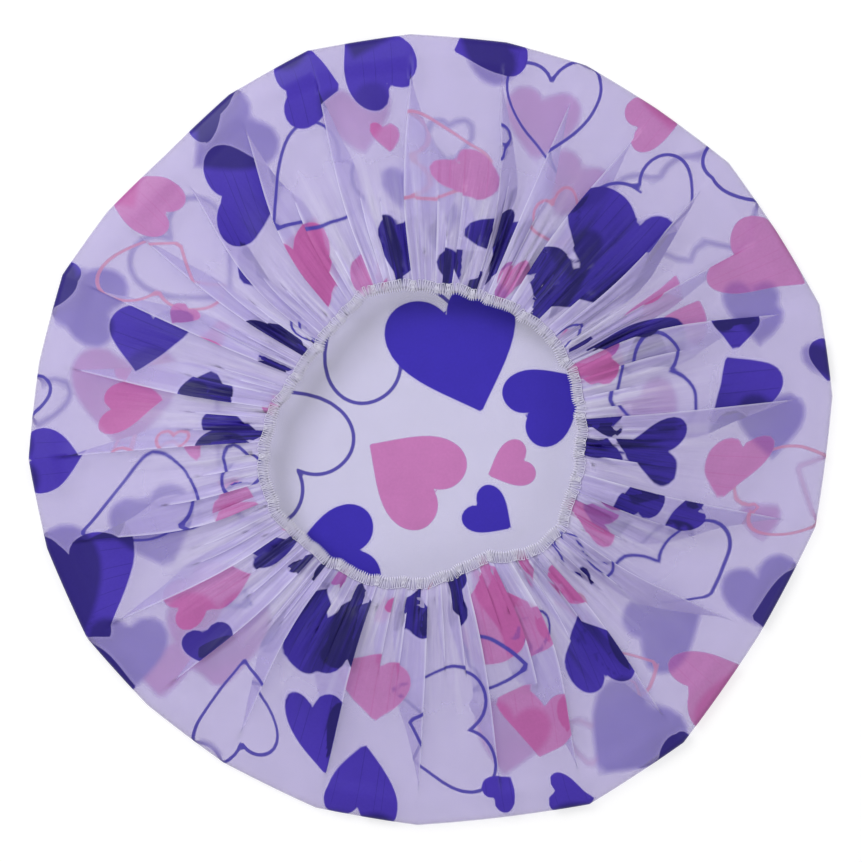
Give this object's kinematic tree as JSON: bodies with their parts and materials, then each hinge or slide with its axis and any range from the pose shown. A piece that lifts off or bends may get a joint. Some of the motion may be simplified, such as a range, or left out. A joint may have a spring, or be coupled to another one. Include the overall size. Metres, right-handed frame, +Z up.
{
  "type": "shower cap",
  "caption": "Elasticated shower cap of thin frosted film printed with scattered hearts, lying flat on its crown with the gathered mouth up.",
  "frame": {"origin": "middle of the crown's flat underside, on the surface that the cap lies on", "axes": "+Z up, out of the mouth; +Y towards the top of the picture"},
  "size_m": [0.2861, 0.2814, 0.0154],
  "materials": {
    "printed_film": "thin frosted film, satin, printed with plain hearts in blue-violet and pink",
    "elastic": "white woven elastic",
    "thread": "white fluffy overlock thread"
  },
  "bodies": {
    "root": {"crown_film": "printed_film", "gathered_film": "printed_film", "elastic_band": "elastic", "needle_thread": "thread", "upper_looper_thread": "thread", "lower_looper_thread": "thread"}
  },
  "joints": []
}
